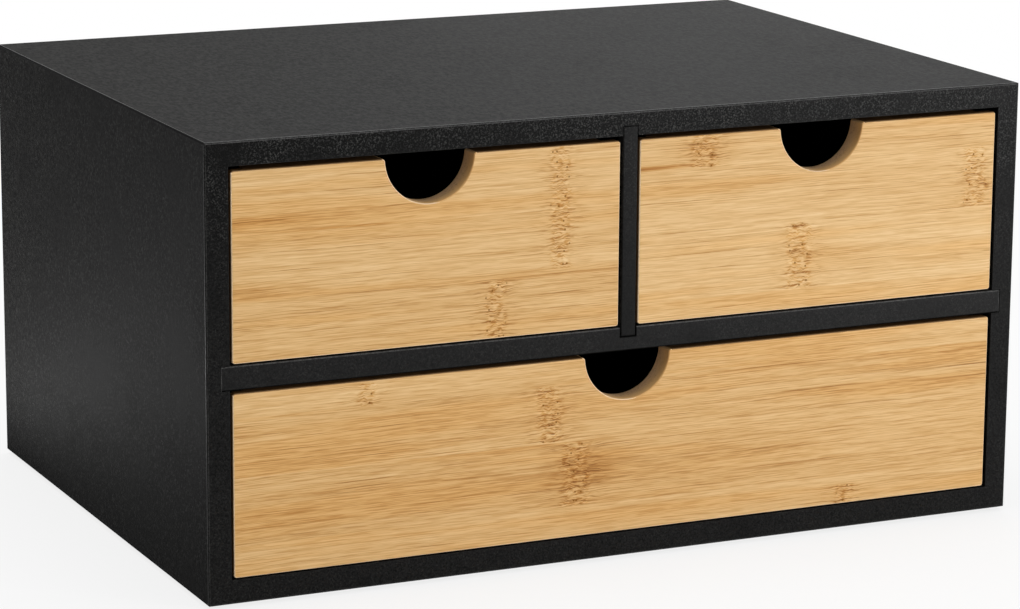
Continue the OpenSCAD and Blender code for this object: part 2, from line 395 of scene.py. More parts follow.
@dataclass(frozen=True)
class Bamboo:
    """Laminated bamboo strips under clear satin lacquer, with the grain along X.

    Each strip has its own tone and grain, and the grain runs through the board at a slant. Heights and
    places are in millimetres in the unit's frame. The lift lightens a board from its mean tone.
    """

    name: str
    seed: float
    glue_lines: tuple[float, ...]
    knuckles: tuple[Knuckle, ...]
    stains: tuple[Stain, ...]
    lift: float = 0.0
    mean_tone: float = 0.745
    slant: float = 0.83
    strip_shift_mm: float = 91.0
    wave_mm: float = 0.9
    rough: float = 0.46
    tones: tuple[tuple[float, Colour], ...] = (
        (0.0, (0.262, 0.105, 0.022)),
        (0.22, (0.470, 0.235, 0.066)),
        (0.42, (0.637, 0.377, 0.142)),
        (0.56, (0.714, 0.452, 0.196)),
        (0.74, (0.794, 0.537, 0.262)),
        (1.0, (0.887, 0.672, 0.388)),
    )
    warm_tint: Colour = (1.0, 0.88, 0.66)
    pore_colour: Colour = (0.20, 0.075, 0.004)

    def material(self) -> Material:
        """Return the finish as a material."""
        s = Shader(self.name)
        x, y, z = s.millimetres()
        strip = s.total(*(s.math("GREATER_THAN", z, line) for line in self.glue_lines))
        rise = s.total(z, (y, self.slant))
        core, halo = self.masks(s, x, z, rise)
        drift = s.noise(s.spot(x, rise, s.math("MULTIPLY", strip, 5.0), (70.0, 15.0, 1.0)), 2.0)
        ripple = s.math("SUBTRACT", s.noise(s.spot(x, rise, 9.0, (8.0, 3.0, 1.0)), 1.0), 0.5)
        ripple = s.math("MULTIPLY", ripple, s.total((halo, 1.8), 0.15))
        across = s.total(rise, (drift, 2 * self.wave_mm), ripple)
        shift = s.total((strip, self.strip_shift_mm), x)

        def grain(length: float, width: float, layer: float, detail: float = 2.0) -> NodeSocket:
            """Sample streaks of about the given length and width, in millimetres."""
            place = s.spot(shift, across, layer + self.seed, (length, width, 1.0))
            return s.noise(place, detail, 0.6)

        fibres = grain(34.0, 0.34, 1.5, 3.0)
        bands = grain(120.0, 2.0, 11.5)
        fields = grain(160.0, 9.0, 21.5, 1.0)
        hairs = s.step(grain(70.0, 0.46, 31.5, 1.0), 0.35, 0.28)
        dashes = s.step(grain(10.0, 0.34, 41.5, 1.0), 0.38, 0.62)
        tails = s.step(grain(6.0, 0.42, 51.5, 1.0), 0.48, 0.37)
        sway = s.noise(s.spot(x, rise, self.seed, (2.2, 5.0, 1.0)), 1.0)
        curl = s.total(rise, (sway, 2.2))
        marks = s.step(s.noise(s.spot(x, curl, self.seed, (3.0, 0.62, 1.0)), 1.0), 0.52, 0.40)
        marks = s.math("MULTIPLY", marks, core)
        blots = s.step(s.noise(s.spot(x, rise, self.seed + 7, (2.8, 1.6, 1.0)), 1.0), 0.50, 0.66)
        pores = s.step(s.cells(s.spot(x, rise, 0.5, (5.2, 5.2, 1.0)), 0.95, "2D"), 0.09, 0.05)
        dots = s.math("MULTIPLY", pores, s.step(core, 0.3, 0.9))
        stain = self.stained(s, x, s.total(z, (fibres, 1.6), -0.8))

        own = s.put("ShaderNodeTexWhiteNoise", {"W": s.math("ADD", strip, self.seed)}, noise_dimensions="1D")
        tone = s.total(
            (fibres, 0.70),
            (bands, 0.30),
            (fields, 0.26),
            (own.outputs["Value"], 0.10),
            (dashes, 0.19),
            (hairs, -0.24),
            (s.math("MULTIPLY", tails, halo), -0.24),
            (marks, -0.23),
            (s.math("MULTIPLY", blots, core), 0.14),
            (stain, -0.20),
        )
        tone = s.math("ADD", tone, 0.5 - self.mean_tone + self.lift, clamp=True)
        colour = s.ramp(tone, self.tones)
        warm = s.total((s.step(fields, 0.54, 0.34), 0.5), (marks, 0.7), (stain, 0.5))
        colour = s.blend(s.math("MINIMUM", warm, 1.0), colour, self.warm_tint, "MULTIPLY")
        colour = s.blend(s.math("MULTIPLY", dots, 0.85), colour, self.pore_colour)
        rough = s.total((fibres, 0.16), (marks, 0.12), (dots, 0.3), self.rough - 0.08)
        height = s.total((fibres, 0.6), (marks, -0.15), (hairs, -0.3))
        return s.dress(Base_Color=colour, Roughness=rough, Specular=0.16, Normal=s.relief(height, 0.03))

    def stained(self, s: Shader, x: object, level: object) -> object:
        """Find where the stains are.

        Args:
            s: The material being built.
            x: The place along the grain.
            level: The height, roughened so that a stain's edge follows the fibres.

        Returns:
            How deep the stain is, 0 where there is none.
        """
        result: object = 0.0
        for stain in self.stains:
            along = s.math("ABSOLUTE", s.math("SUBTRACT", x, stain.x))
            off = s.math("ABSOLUTE", s.math("SUBTRACT", level, stain.z))
            shape = s.math("MULTIPLY", s.step(along, stain.reach, 0.0), s.step(off, stain.half_width, 0.0))
            result = s.total((shape, stain.depth), result)
        return result

    def masks(self, s: Shader, x: object, z: object, rise: object) -> tuple[object, object]:
        """Find where the knuckles are.

        Args:
            s: The material being built.
            x: The place along the grain.
            z: The height.
            rise: The place across the grain, for the wobble of each column.

        Returns:
            The columns themselves, and the wider belts beside them, from 0 to 1.
        """
        wobble = s.math("SUBTRACT", s.noise(s.spot(self.seed, rise, 3.0, (1.0, 9.0, 1.0)), 2.0), 0.5)
        core: object = 0.0
        halo: object = 0.0
        for knuckle in self.knuckles:
            off = s.math("ABSOLUTE", s.total(x, (wobble, 9.0), -knuckle.x))
            inside = s.math(
                "MULTIPLY",
                s.step(z, knuckle.low - 0.8, knuckle.low + 0.8),
                s.step(z, knuckle.high + 0.8, knuckle.high - 0.8),
            )
            column = s.step(off, knuckle.reach * 1.3, knuckle.reach * 0.6)
            belt = s.step(off, knuckle.reach + 11.0, knuckle.reach * 0.7)
            held = s.math("MULTIPLY", inside, knuckle.depth)
            core = s.math("MAXIMUM", core, s.math("MULTIPLY", column, held))
            halo = s.math("MAXIMUM", halo, s.math("MULTIPLY", belt, held))
        return core, halo


@dataclass(frozen=True)
class BambooArris:
    """An edge of a bamboo board in one streaked tone: by default a pale line along its rounded edges, which
    is a painted highlight, or a dark tone given for painted shade.
    """

    name: str = "bamboo_arris_painted_highlight"
    # Pale by default: a painted highlight.
    colour: Colour = (1.0, 0.74, 0.46)
    shine: float = 0.22

    def material(self) -> Material:
        """Return the finish as a material."""
        s = Shader(self.name)
        x, y, z = s.millimetres()
        streaks = s.noise(s.spot(x, y, z, (12.0, 1.0, 0.7)), 3.0, 0.6)
        deep = tuple(c * 0.72 for c in self.colour)
        colour = s.ramp(streaks, ((0.25, deep), (0.6, self.colour)))
        rough = s.total((streaks, 0.12), 0.34)
        normal = s.relief(streaks, 0.01)
        return s.dress(Base_Color=colour, Roughness=rough, Specular=self.shine, Normal=normal)


@dataclass(frozen=True)
class BambooCut:
    """Cut bamboo, dotted, and more golden where lacquer runs in at the front.

    It is darker on faces that turn sideways, partly as end grain and partly as painted shade, and keeps
    its paler colour on faces that turn up or down, as a painted highlight. The board's face stands at
    face_mm, and the gold fades out between the two depths behind it.
    """

    face_mm: float
    name: str = "bamboo_cut"
    colour: Colour = (0.93, 0.62, 0.34)
    golden: Colour = (1.0, 0.59, 0.22)
    end_grain_and_shade: Colour = (0.58, 0.52, 0.46)
    mean_tone: float = 0.91
    golden_depths_mm: tuple[float, float] = (2.5, 9.5)

    def material(self) -> Material:
        """Return the finish as a material."""
        s = Shader(self.name)
        x, y, z = s.millimetres()
        ends = s.step(s.cells(s.spot(x, y, z, (0.9, 0.55, 0.7)), 0.9), 0.42, 0.18)
        layers = s.noise(s.spot(x, y, z, (6.0, 1.1, 3.0)), 3.0, 0.6)
        dust = s.noise(s.spot(x, y, z, (0.8, 0.8, 0.8)), 2.0, 0.7)
        tone = s.total((ends, -0.25), (layers, 0.75), (dust, 1.3))
        tone = s.math("ADD", tone, 0.5 - self.mean_tone, clamp=True)
        deep = tuple(c * share for c, share in zip(self.colour, (0.50, 0.43, 0.36)))
        pale = tuple(c / max(self.colour) for c in self.colour)
        colour = s.ramp(tone, ((0.1, deep), (0.5, self.colour), (0.9, pale)))
        full, gone = (self.face_mm + depth for depth in self.golden_depths_mm)
        soaked = s.step(s.total(y, (layers, 4.0)), gone, full)
        colour = s.blend(s.math("MULTIPLY", soaked, 0.85), colour, self.golden)
        # Painted shade, mixed with the darker end grain, on faces that turn sideways; faces that turn up or
        # down keep the paler colour, a painted highlight.
        facing = s.put("ShaderNodeSeparateXYZ", {0: s.put("ShaderNodeTexCoord").outputs["Normal"]})
        crossing_and_shade = s.step(s.math("ABSOLUTE", facing.outputs[2]), 0.95, 0.1)
        colour = s.blend(crossing_and_shade, colour, self.end_grain_and_shade, "MULTIPLY")
        height = s.total((ends, -0.6), (dust, 0.4))
        return s.dress(Base_Color=colour, Roughness=0.7, Specular=0.2, Normal=s.relief(height, 0.05))


@dataclass(frozen=True)
class Plywood:
    """Bare plywood with its plies on edge."""

    name: str = "plywood"

    def material(self) -> Material:
        """Return the finish as a material."""
        s = Shader(self.name)
        x, y, z = s.millimetres()
        plies = s.noise(s.spot(x, y, z, (0.8, 60.0, 0.8)), 2.0)
        fibres = s.noise(s.spot(x, y, z, (0.4, 14.0, 0.4)), 3.0)
        tone = s.total((plies, 0.6), (fibres, 0.4))
        colour = s.ramp(tone, ((0.3, (0.34, 0.20, 0.09)), (0.7, (0.60, 0.42, 0.24))))
        return s.dress(Base_Color=colour, Roughness=0.75, Normal=s.relief(fibres, 0.04))


@dataclass(frozen=True)
class NailSteel:
    """Bright drawn steel with faint scratches and a little tarnish."""

    name: str = "nail_steel"

    def material(self) -> Material:
        """Return the finish as a material."""
        s = Shader(self.name)
        x, y, z = s.millimetres()
        tarnish = s.noise(s.spot(x, y, z, (1.6, 1.6, 1.6)), 3.0, 0.6)
        scratches = s.noise(s.spot(x, y, z, (0.9, 0.12, 0.12)), 2.0)
        colour = s.ramp(tarnish, ((0.3, (0.30, 0.29, 0.28)), (0.65, (0.58, 0.58, 0.60))))
        rough = s.total((tarnish, 0.25), (scratches, 0.2), 0.12)
        normal = s.relief(scratches, 0.004)
        return s.dress(Base_Color=colour, Metallic=1.0, Roughness=rough, Normal=normal)


@dataclass(frozen=True)
class PadRubber:
    """Matt black rubber with a fine cast texture."""

    name: str = "pad_rubber"

    def material(self) -> Material:
        """Return the finish as a material."""
        s = Shader(self.name)
        x, y, z = s.millimetres()
        pebbles = s.noise(s.spot(x, y, z, (0.3, 0.3, 0.3)), 2.0)
        bloom = s.noise(s.spot(x, y, z, (5.0, 5.0, 5.0)), 2.0)
        tone = s.total((pebbles, 0.4), (bloom, 0.6))
        colour = s.ramp(tone, ((0.3, (0.022, 0.022, 0.023)), (0.7, (0.055, 0.055, 0.057))))
        rough = s.total((bloom, 0.2), 0.7)
        return s.dress(Base_Color=colour, Roughness=rough, Specular=0.25, Normal=s.relief(pebbles, 0.03))


# ---------------------------------------------------------------------------------------------
# Objects and meshes
# ---------------------------------------------------------------------------------------------


def add_object(name: str, data: ID) -> Object:
    """Put a new object in the scene.

    Args:
        name: The object's name.
        data: Its mesh, lamp or camera.

    Returns:
        The object.
    """
    made = bpy.data.objects.new(name, data)
    bpy.context.scene.collection.objects.link(made)
    return made


def add_mesh(name: str, bm: BMesh) -> Object:
    """Put a new mesh object in the scene.

    Args:
        name: The object's name.
        bm: Its mesh, which is used up.

    Returns:
        The object.
    """
    mesh = bpy.data.meshes.new(name)
    bm.to_mesh(mesh)
    bm.free()
    return add_object(name, mesh)


@dataclass(frozen=True)
class Form:
    """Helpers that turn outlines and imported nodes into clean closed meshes."""

    weld: float = 1e-6
    flat: float = math.radians(0.3)
    sharp: float = math.radians(35.0)
    area_weight: int = 80

    def from_node(self, node: Object) -> BMesh:
        """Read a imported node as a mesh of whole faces.

        Args:
            node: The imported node's object, which stays as it is.

        Returns:
            The welded mesh, with triangles in one plane merged.
        """
        bm = bmesh.new()
        bm.from_mesh(node.data)
        bmesh.ops.remove_doubles(bm, verts=bm.verts, dist=self.weld)
        bmesh.ops.dissolve_limit(
            bm, angle_limit=self.flat, use_dissolve_boundaries=False, verts=bm.verts, edges=bm.edges
        )
        bmesh.ops.recalc_face_normals(bm, faces=bm.faces)
        return bm

    def prism(self, outline: Sequence[tuple[float, float]], front: float, back: float) -> BMesh:
        """Extrude an outline drawn in X and Z.

        Args:
            outline: Points in order round the outline.
            front: The Y of the near face.
            back: The Y of the far face.

        Returns:
            The closed mesh.
        """
        bm = bmesh.new()
        near = [bm.verts.new((x, front, z)) for x, z in outline]
        far = [bm.verts.new((x, back, z)) for x, z in outline]
        bm.faces.new(near)
        bm.faces.new(reversed(far))
        for i in range(len(outline)):
            j = (i + 1) % len(outline)
            bm.faces.new((near[j], near[i], far[i], far[j]))
        bmesh.ops.recalc_face_normals(bm, faces=bm.faces)
        return bm

    def block(self, low: Vector, high: Vector) -> BMesh:
        """Make a block between two corners."""
        outline = ((low.x, low.z), (high.x, low.z), (high.x, high.z), (low.x, high.z))
        return self.prism(outline, low.y, high.y)

    def cut(self, body: BMesh, tools: Sequence[BMesh]) -> BMesh:
        """Cut shapes out of a body.

        Args:
            body: The mesh that is cut, which is used up.
            tools: The closed meshes that are taken away, which are used up.

        Returns:
            What is left of the body.
        """
        whole = add_mesh("scratch", body)
        cutters = [add_mesh("scratch", tool) for tool in tools]
        for cutter in cutters:
            modifier = whole.modifiers.new("cut", "BOOLEAN")
            modifier.operation = "DIFFERENCE"
            modifier.solver = "EXACT"
            modifier.object = cutter
        bpy.context.view_layer.update()
        left = bmesh.new()
        left.from_object(whole, bpy.context.evaluated_depsgraph_get())
        for scrap in (whole, *cutters):
            mesh = scrap.data
            bpy.data.objects.remove(scrap)
            bpy.data.meshes.remove(mesh)
        bmesh.ops.remove_doubles(left, verts=left.verts, dist=self.weld)
        return left

    def arrises(self, bm: BMesh, chosen: Callable[[BMEdge], bool]) -> list[BMEdge]:
        """Find the outward edges that a test picks.

        Args:
            bm: The mesh.
            chosen: The test of an edge.

        Returns:
            The edges that turn outwards by more than the sharp angle and pass the test.
        """
        return [
            edge
            for edge in bm.edges
            if edge.is_manifold and edge.is_convex and edge.calc_face_angle(0.0) > self.sharp and chosen(edge)
        ]

    def round_off(self, bm: BMesh, edges: list[BMEdge], radius: float, segments: int, slot: int = -1) -> None:
        """Round edges.

        Args:
            bm: The mesh.
            edges: The edges to round.
            radius: The size of the round.
            segments: The number of faces across it.
            slot: The material slot of the new faces, or -1 for that of their neighbours.
        """
        bmesh.ops.bevel(
            bm,
            geom=edges,
            offset=radius,
            offset_type="OFFSET",
            segments=segments,
            profile=0.5,
            affect="EDGES",
            clamp_overlap=True,
            material=slot,
            miter_outer="SHARP",
        )

    def piece(
        self, name: str, bm: BMesh, materials: Sequence[Material], body: str, slot: str, node: str
    ) -> None:
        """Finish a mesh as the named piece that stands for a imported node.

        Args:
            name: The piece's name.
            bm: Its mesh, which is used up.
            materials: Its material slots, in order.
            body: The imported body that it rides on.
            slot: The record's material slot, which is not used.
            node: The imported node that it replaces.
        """
        bmesh.ops.recalc_face_normals(bm, faces=bm.faces)
        for face in bm.faces:
            face.smooth = True
        for edge in bm.edges:
            edge.smooth = edge.is_manifold and edge.calc_face_angle(0.0) < self.sharp
        piece = add_mesh(name, bm)
        for material in materials:
            piece.data.materials.append(material)
        normals = piece.modifiers.new("even_shading", "WEIGHTED_NORMAL")
        normals.keep_sharp = True
        normals.weight = self.area_weight
        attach(piece, body)
        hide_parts(node)
        LOG.info("%s: %d faces on %s", name, len(piece.data.polygons), body)


FORM = Form()


@dataclass(frozen=True)
class NailSet:
    """Nails or brads that lie along one axis, with their heads flush in the outer faces.

    The rims of the heads are rounded, so that each one shows as a low dome.
    """

    name: str
    body: str
    axis: int
    both_ways: bool = False
    head_round: float = 0.28 * MM

    def build(self, node: Object, steel: Material) -> None:
        """Build the set.

        Args:
            node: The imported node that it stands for.
            steel: The material.
        """
        low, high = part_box(node.name)
        outer = [high[self.axis]] + ([low[self.axis]] if self.both_ways else [])

        def on_head(edge: BMEdge) -> bool:
            """Tell whether an edge is part of the outer rim of a head."""
            return any(all(abs(vert.co[self.axis] - at) < FORM.weld for vert in edge.verts) for at in outer)

        bm = FORM.from_node(node)
        FORM.round_off(bm, FORM.arrises(bm, on_head), self.head_round, 3)
        FORM.piece(self.name, bm, (steel,), self.body, "steel", node.name)


# ---------------------------------------------------------------------------------------------
# The case
# ---------------------------------------------------------------------------------------------


class BoardPaint(IntEnum):
    """The material slots of a case board."""

    FACE = 0
    EDGE = 1
    # Paler rounded edges: a painted highlight on most boards.
    ARRIS = 2
    # Dark eaves and seams: painted shade.
    EAVE_SHADE = 3


@dataclass(frozen=True)
class CaseBoards:
    """The mitred top, base and sides, with the shelf and the divider let into them.

    The arrises are the rounded edges, and the eaves are those where the top or the base meets a side.
    Most arrises take a paler paint, a painted highlight. The eaves, and the rounded edges at the divider
    and along the shelf's lower face, take a dark paint that is painted shade, and the sides take a darker
    copy of the face paint, also painted shade.
    A name that ends in _lean is a share of a face's normal.
    """

    nodes: dict[str, Object]
    body: str = "case"
    ease: float = 0.2 * MM
    arris: float = 0.45 * MM
    shortest_arris: float = 2.0 * MM
    widest_ease_angle: float = math.radians(50)
    least_square_angle: float = math.radians(80)
    least_mitre_area: float = 1e-3
    mitre_slack: float = 0.01
    edge_lean: float = 0.7
    eave_lean: float = 0.45
    level_lean: float = 0.05
    seam_reach: float = 1.2 * MM
    face_paint: BlackPaint = BlackPaint("case_face_paint")
    # A darker copy of the face paint on the sides: painted shade.
    side_shade_paint: BlackPaint = BlackPaint(
        "case_side_painted_shade",
        shade=0.004,
        shine=0.017,
        grain_mm=1.2,
        grain_draw=1.3,
        grain_share=5.0,
        speck_mm=1.0,
        speck_shade=0.021,
        speck_share=0.9,
        speck_fade_mm=(0.0, 1.0),
        relief_mm=0.12,
        seed=2.0,
    )
    edge_paint: BlackPaint = BlackPaint(
        "case_edge_paint",
        shade=0.001,
        rough=0.37,
        shine=0.062,
        grain_mm=0.8,
        speck_share=1.0,
        # Lighter towards the bottom: a painted sheen.
        painted_sheen_gain=3.6,
        relief_mm=0.06,
        seed=3.0,
    )
    rail_paint: BlackPaint = BlackPaint(
        "case_rail_paint", shade=0.003, rough=0.38, shine=0.11, grain_mm=0.9, speck_share=1.0, seed=4.0
    )
    divider_paint: BlackPaint = BlackPaint(
        "case_divider_paint", shade=0.0025, rough=0.42, shine=0.09, grain_mm=0.9, speck_share=0.4, seed=4.0
    )
    # Paler, glossier paint on the rounded edges: the paler colour is a painted highlight.
    arris_highlight_paint: BlackPaint = BlackPaint(
        "case_arris_painted_highlight", shade=0.030, rough=0.4, shine=0.26, grain_mm=0.9, seed=6.0
    )
    # Paler paint on the rounded edges of the base and the sides: a painted highlight.
    post_arris_highlight_paint: BlackPaint = BlackPaint(
        "case_post_arris_painted_highlight", shade=0.019, rough=0.45, shine=0.12, grain_mm=0.9, seed=7.0
    )
    # Dark paint on the eaves and at the seams: painted shade.
    eave_shade_paint: BlackPaint = BlackPaint(
        "case_eave_painted_shade", shade=0.003, rough=0.6, shine=0.02, grain_mm=0.9, seed=8.0
    )

    def build(self) -> None:
        """Build and dress every board."""
        face, side = self.face_paint.material(), self.side_shade_paint.material()
        edge, rail = self.edge_paint.material(), self.rail_paint.material()
        eave_shade, divider = self.eave_shade_paint.material(), self.divider_paint.material()
        arris, post_highlight = self.arris_highlight_paint.material(), self.post_arris_highlight_paint.material()
        # Except on the divider, the third slot is the paler paint of the rounded edges, a painted highlight,
        # and the fourth the dark paint of the eaves and seams, painted shade.
        paints = {
            "case_top": (face, edge, arris, eave_shade),
            "case_base": (face, edge, post_highlight, eave_shade),
            "case_side_left": (side, edge, post_highlight, eave_shade),
            "case_side_right": (side, edge, post_highlight, eave_shade),
            "shelf": (face, rail, arris, eave_shade),
            "divider": (face, divider, divider),
        }
        seams = self.seam_zone()
        for name, slots in paints.items():
            bm = FORM.from_node(self.nodes[name])
            for plane in bm.faces:
                is_edge = abs(plane.normal.y) > self.edge_lean
                plane.material_index = BoardPaint.EDGE if is_edge else BoardPaint.FACE
            FORM.round_off(bm, FORM.arrises(bm, self.is_eased), self.ease, 2, slot=BoardPaint.ARRIS)
            FORM.round_off(bm, FORM.arrises(bm, self.is_arris), self.arris, 3, slot=BoardPaint.ARRIS)
            # Painted shade on the eaves and on the rounded edges at the seams.
            for plane in bm.faces:
                if len(slots) > BoardPaint.EAVE_SHADE and (self.is_eave(plane) or self.is_seam(plane, seams)):
                    plane.material_index = BoardPaint.EAVE_SHADE
            FORM.piece(f"{name}_board", bm, slots, self.body, "case_paint", name)

    def seam_zone(self) -> tuple[Vector, Vector]:
        """Return the corners of a box round the divider, down to the shelf's lower face."""
        shelf_low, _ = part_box("shelf")
        low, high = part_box("divider")
        reach = Vector((self.seam_reach,) * 3)
        return Vector((low.x, low.y, shelf_low.z)) - reach, high + reach

    def is_seam(self, face: BMFace, zone: tuple[Vector, Vector]) -> bool:
        """Tell whether a face is part of a rounded edge at the divider or along the shelf's lower face.

        Args:
            face: A face of a board.
            zone: The box from seam_zone(), which takes in the middle of the shelf's whole edge.

        Returns:
            Whether the face gets painted shade at the seam.
        """
        inside = all(low < at < high for low, at, high in zip(zone[0], face.calc_center_median(), zone[1]))
        return inside and face.material_index == BoardPaint.ARRIS

    def is_eave(self, face: BMFace) -> bool:
        """Tell whether a face is part of the eased edge between the top or base and a side.

        Args:
            face: A face of a board.

        Returns:
            Whether it leans outwards to one side and runs from front to back.
        """
        x, y, z = (abs(part) for part in face.normal)
        outward = face.normal.x * face.calc_center_median().x > 0.0
        leans = x > self.eave_lean and z > self.level_lean and y < self.level_lean
        return outward and leans and face.calc_area() < self.least_mitre_area

    def is_mitre(self, face: BMFace) -> bool:
        """Tell whether a face is the long slanted face of a mitre."""
        x, y, z = (abs(part) for part in face.normal)
        slanted = abs(x - z) < self.mitre_slack and y < self.level_lean
        return slanted and face.calc_area() > self.least_mitre_area

    def is_open(self, edge: BMEdge) -> bool:
        """Tell whether an edge is long enough to show and doesn't lie in a mitre."""
        if edge.calc_length() < self.shortest_arris:
            return False
        return not any(self.is_mitre(face) for face in edge.link_faces)

    def is_eased(self, edge: BMEdge) -> bool:
        """Tell whether an edge borders one of the narrow bevels on the outer edges of the case."""
        return self.is_open(edge) and edge.calc_face_angle(0.0) < self.widest_ease_angle

    def is_arris(self, edge: BMEdge) -> bool:
        """Tell whether an edge is a square corner that shows."""
        return self.is_open(edge) and edge.calc_face_angle(0.0) > self.least_square_angle


@dataclass(frozen=True)
class BackAssembly:
    """The thin back panel and the nails that hold it."""

    nodes: dict[str, Object]
    body: str = "case"
    arris: float = 0.3 * MM
    shortest_arris: float = 50 * MM
    paint: BlackPaint = BlackPaint("back_panel_paint", shade=0.013, grain_share=2.4, seed=5.0)
    steel: NailSteel = NailSteel()

    def build(self) -> None:
        """Build and dress the panel and the nails."""
        bm = FORM.from_node(self.nodes["back_panel"])
        FORM.round_off(bm, FORM.arrises(bm, self.is_outer), self.arris, 2)
        FORM.piece("back_panel_board", bm, (self.paint.material(),), self.body, "back_paint", "back_panel")
        NailSet("back_nail_set", self.body, axis=1).build(self.nodes["back_nails"], self.steel.material())

    def is_outer(self, edge: BMEdge) -> bool:
        """Tell whether an edge belongs to the panel's outline, not to a nail's hole."""
        return edge.calc_length() > self.shortest_arris


@dataclass(frozen=True)
class MitreTongues:
    """The plywood tongues that hold the mitres, hidden in the boards."""

    nodes: dict[str, Object]
    body: str = "case"
    arris: float = 0.3 * MM
    finish: Plywood = Plywood()

    def build(self) -> None:
        """Build and dress the four tongues."""
        material = self.finish.material()
        for level in ("top", "base"):
            for side in Side:
                name = f"mitre_tongue_{level}_{side.value}"
                bm = FORM.from_node(self.nodes[name])
                FORM.round_off(bm, FORM.arrises(bm, lambda edge: True), self.arris, 2)
                FORM.piece(f"{name}_strip", bm, (material,), self.body, "plywood", name)


@dataclass(frozen=True)
class FootPads:
    """The four rubber pads that the unit stands on."""

    nodes: dict[str, Object]
    body: str = "case"
    edge_round: float = 0.5 * MM
    finish: PadRubber = PadRubber()

    def build(self) -> None:
        """Build and dress the four pads."""
        material = self.finish.material()
        for end in ("front", "rear"):
            for side in Side:
                name = f"foot_pad_{end}_{side.value}"
                bm = FORM.from_node(self.nodes[name])
                FORM.round_off(bm, FORM.arrises(bm, self.is_lower), self.edge_round, 4)
                FORM.piece(f"{name}_disc", bm, (material,), self.body, "pad_rubber", name)

    def is_lower(self, edge: BMEdge) -> bool:
        """Tell whether an edge lies on the table top."""
        return all(abs(vert.co.z) < FORM.weld for vert in edge.verts)


# ---------------------------------------------------------------------------------------------
# The drawers
# ---------------------------------------------------------------------------------------------


class FrontFinish(IntEnum):
    """The material slots of a drawer front."""

    FACE = 0
    # Pale rounded edges: a painted highlight.
    ARRIS = 1
    CUT = 2
    # Dark narrow faces along the outline: painted shade.
    RIM = 3
    # Dark rounded top edge: painted shade.
    TOP_ARRIS = 4


@dataclass(frozen=True)
class FrontFinishes:
    """The finishes that the three fronts share."""

    cut: BambooCut
    # The pale arris is a painted highlight, and the dark rim and top arris are painted shade.
    arris: BambooArris = BambooArris()
    rim: BambooArris = BambooArris("bamboo_rim_painted_shade", colour=(0.27, 0.14, 0.055), shine=0.12)
    top_arris: BambooArris = BambooArris("bamboo_top_arris_painted_shade", colour=(0.30, 0.17, 0.07), shine=0.25)

    def materials(self) -> tuple[Material, ...]:
        """Return the materials of the slots after the face's own."""
        return tuple(finish.material() for finish in (self.arris, self.cut, self.rim, self.top_arris))


@dataclass(frozen=True)
class DrawerFront:
    """The bamboo board across a drawer, with its finger notch.

    A name that ends in _lean is a share of a face's normal.
    """

    low: Vector
    high: Vector
    corner_r: float = 1.0 * MM
    notch_r: float = 17.5 * MM
    lip_r: float = 1.2 * MM
    arris: float = 0.5 * MM
    rear_arris: float = 0.3 * MM
    notch_steps: int = 96
    corner_steps: int = 6
    face_lean: float = 0.95
    pale_lean: float = -0.1

    def arc(
        self, x: float, z: float, radius: float, start: float, end: float, steps: int
    ) -> list[tuple[float, float]]:
        """Walk round an arc.

        Args:
            x: The X of its middle.
            z: The Z of its middle.
            radius: Its radius.
            start: The angle of its first point, in degrees.
            end: The angle of its last point, in degrees.
            steps: The number of steps between them.

        Returns:
            Its points, ends included.
        """
        angles = (math.radians(start + (end - start) * i / steps) for i in range(steps + 1))
        return [(x + radius * math.cos(a), z + radius * math.sin(a)) for a in angles]

    def outline(self) -> list[tuple[float, float]]:
        """Return the board seen from the front, anticlockwise from its lower left corner."""
        low, high, r = self.low, self.high, self.corner_r
        middle = (low.x + high.x) / 2
        lip_x = math.sqrt(self.notch_r**2 + 2 * self.notch_r * self.lip_r)
        dip = math.degrees(math.atan2(self.lip_r, lip_x))
        lip_z = high.z - self.lip_r
        steps = self.corner_steps
        points = self.arc(low.x + r, low.z + r, r, 180, 270, steps)
        points += self.arc(high.x - r, low.z + r, r, 270, 360, steps)
        points += self.arc(high.x - r, high.z - r, r, 0, 90, steps)
        points += self.arc(middle + lip_x, lip_z, self.lip_r, 90, 180 - dip, steps)[:-1]
        points += self.arc(middle, high.z, self.notch_r, -dip, dip - 180, self.notch_steps)
        points += self.arc(middle - lip_x, lip_z, self.lip_r, dip, 90, steps)[1:]
        points += self.arc(low.x + r, high.z - r, r, 90, 180, steps)
        return points

    def finish_of(self, face: BMFace) -> FrontFinish:
        """Choose the finish of a face, after the edges of the face that shows are rounded.

        The notch's rounded edge is pale, a painted highlight, on its left half only, where it turns to the
        right. The other rounded edges are pale as well, save the top one, which is dark like the narrow faces
        along the outline: painted shade.

        Args:
            face: A face of the board, with the rounded edges in the ARRIS slot.

        Returns:
            Its finish.
        """
        if abs(face.normal.y) > self.face_lean:
            return FrontFinish.FACE
        middle = face.calc_center_median()
        rounded = face.material_index == FrontFinish.ARRIS
        off = middle.x - (self.low.x + self.high.x) / 2
        if math.hypot(off, middle.z - self.high.z) < self.notch_r + self.arris + self.lip_r:
            # Painted highlight on the left half of the notch's rounded edge.
            return FrontFinish.ARRIS if rounded and face.normal.x > self.pale_lean else FrontFinish.CUT
        if rounded:
            # Painted shade on the top's rounded edge, painted highlight on the others.
            return FrontFinish.TOP_ARRIS if middle.z > self.high.z - self.arris else FrontFinish.ARRIS
        in_x = min(middle.x - self.low.x, self.high.x - middle.x)
        in_z = min(middle.z - self.low.z, self.high.z - middle.z)
        # Painted shade on the narrow faces along the outline.
        return FrontFinish.RIM if min(in_x, in_z) < self.corner_r else FrontFinish.CUT


